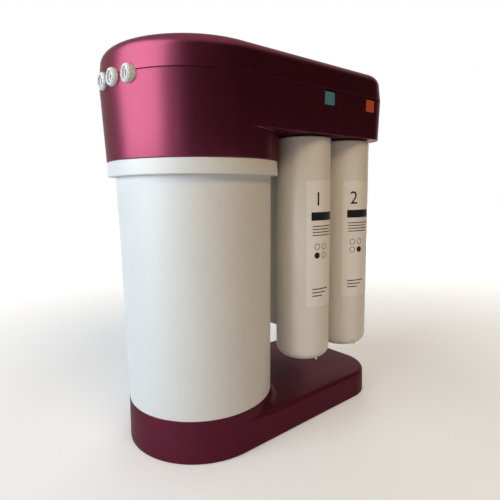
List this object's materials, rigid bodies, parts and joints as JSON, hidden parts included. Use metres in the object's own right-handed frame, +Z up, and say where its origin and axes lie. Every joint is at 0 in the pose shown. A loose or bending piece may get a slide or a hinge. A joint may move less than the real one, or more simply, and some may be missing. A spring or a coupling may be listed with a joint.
{
  "type": "compact reverse osmosis system",
  "caption": "Compact under-sink water purifier: burgundy header with push-in tube ports and release buttons, white tank on a burgundy base, twist-out cartridges.",
  "frame": {"origin": "middle of the footprint's box, on the floor", "axes": "+Z up, X along the header with the tank at -X and the cartridges at +X"},
  "size_m": [0.3352, 0.19, 0.413],
  "materials": {
    "burgundy_shell": "satin metallic burgundy",
    "dark_plastic": "matt",
    "rubber": "matt",
    "steel": "plain",
    "white_plastic": "satin",
    "bladder_rubber": "matt",
    "manifold_plastic": "satin",
    "blue_plastic": "satin",
    "ochre_plastic": "satin",
    "feed_tube": "satin",
    "clear_tube": "satin",
    "cream_plastic": "satin",
    "sediment_media": "fibrous",
    "carbon_media": "pressed carbon",
    "membrane_media": "wound sheet",
    "mineral_media": "granular",
    "teal_button": "satin",
    "orange_button": "satin"
  },
  "bodies": {
    "unit": {"base": "burgundy_shell", "header_body": "burgundy_shell", "header_lid": "burgundy_shell", "base_plate": "dark_plastic", "socket_1": "dark_plastic", "socket_2": "dark_plastic", "socket_3": "dark_plastic", "socket_4": "dark_plastic", "feet": "rubber", "tank_seal": "rubber", "fitting_seals": "rubber", "base_screws": "steel", "header_screws": "steel", "manifold_screws": "steel", "button_spring_1": "steel", "button_spring_2": "steel", "button_spring_3": "steel", "button_spring_4": "steel", "tank_shell": "white_plastic", "tank_collar": "white_plastic", "tank_cap": "white_plastic", "tank_riser": "white_plastic", "shutoff_valve": "white_plastic", "fitting_1": "white_plastic", "fitting_2": "white_plastic", "fitting_3": "white_plastic", "fitting_nut_1": "white_plastic", "fitting_nut_2": "white_plastic", "fitting_nut_3": "white_plastic", "tank_bladder": "bladder_rubber", "manifold": "manifold_plastic", "check_valve": "blue_plastic", "flow_restrictor": "ochre_plastic", "feed_tube": "feed_tube", "drain_tube": "clear_tube", "product_tube": "clear_tube", "tank_tube": "clear_tube"},
    "button_1": {"button_1": "teal_button"},
    "button_2": {"button_2": "orange_button"},
    "button_3": {"button_3": "teal_button"},
    "button_4": {"button_4": "orange_button"},
    "cartridge_1": {"cart_shell_1": "cream_plastic", "cart_neck_1": "white_plastic", "cart_seals_1": "rubber", "cart_media_1": "sediment_media"},
    "cartridge_2": {"cart_shell_2": "cream_plastic", "cart_neck_2": "white_plastic", "cart_seals_2": "rubber", "cart_media_2": "carbon_media"},
    "cartridge_3": {"cart_shell_3": "cream_plastic", "cart_neck_3": "white_plastic", "cart_seals_3": "rubber", "cart_media_3": "membrane_media"},
    "cartridge_4": {"cart_shell_4": "cream_plastic", "cart_neck_4": "white_plastic", "cart_seals_4": "rubber", "cart_media_4": "mineral_media"},
    "collet_1": {"collet_1": "white_plastic"},
    "collet_2": {"collet_2": "white_plastic"},
    "collet_3": {"collet_3": "white_plastic"}
  },
  "joints": [
    {"name": "button_1_press", "type": "slide", "parent": "unit", "child": "button_1", "axis": [0, 1, 0], "range_m": [0, 0.003], "stiffness_N_per_m": 500, "springref_m": -0.002, "deforming": ["button_spring_1"]},
    {"name": "button_2_press", "type": "slide", "parent": "unit", "child": "button_2", "axis": [0, 1, 0], "range_m": [0, 0.003], "stiffness_N_per_m": 500, "springref_m": -0.002, "deforming": ["button_spring_2"]},
    {"name": "button_3_press", "type": "slide", "parent": "unit", "child": "button_3", "axis": [0, -1, 0], "range_m": [0, 0.003], "stiffness_N_per_m": 500, "springref_m": -0.002, "deforming": ["button_spring_3"]},
    {"name": "button_4_press", "type": "slide", "parent": "unit", "child": "button_4", "axis": [0, -1, 0], "range_m": [0, 0.003], "stiffness_N_per_m": 500, "springref_m": -0.002, "deforming": ["button_spring_4"]},
    {"name": "cartridge_1_twist", "type": "hinge", "parent": "unit", "child": "cartridge_1", "pos_m": [0.04662, -0.054, 0.3335], "axis": [0, 0, 1], "range_deg": [0, 60]},
    {"name": "cartridge_2_twist", "type": "hinge", "parent": "unit", "child": "cartridge_2", "pos_m": [0.12062, -0.054, 0.3335], "axis": [0, 0, 1], "range_deg": [0, 60]},
    {"name": "cartridge_3_twist", "type": "hinge", "parent": "unit", "child": "cartridge_3", "pos_m": [0.04662, 0.054, 0.3335], "axis": [0, 0, 1], "range_deg": [0, 60]},
    {"name": "cartridge_4_twist", "type": "hinge", "parent": "unit", "child": "cartridge_4", "pos_m": [0.12062, 0.054, 0.3335], "axis": [0, 0, 1], "range_deg": [0, 60]},
    {"name": "collet_1_press", "type": "slide", "parent": "unit", "child": "collet_1", "axis": [1, 0, 0], "range_m": [0, 0.0015]},
    {"name": "collet_2_press", "type": "slide", "parent": "unit", "child": "collet_2", "axis": [1, 0, 0], "range_m": [0, 0.0015]},
    {"name": "collet_3_press", "type": "slide", "parent": "unit", "child": "collet_3", "axis": [1, 0, 0], "range_m": [0, 0.0015]}
  ]
}
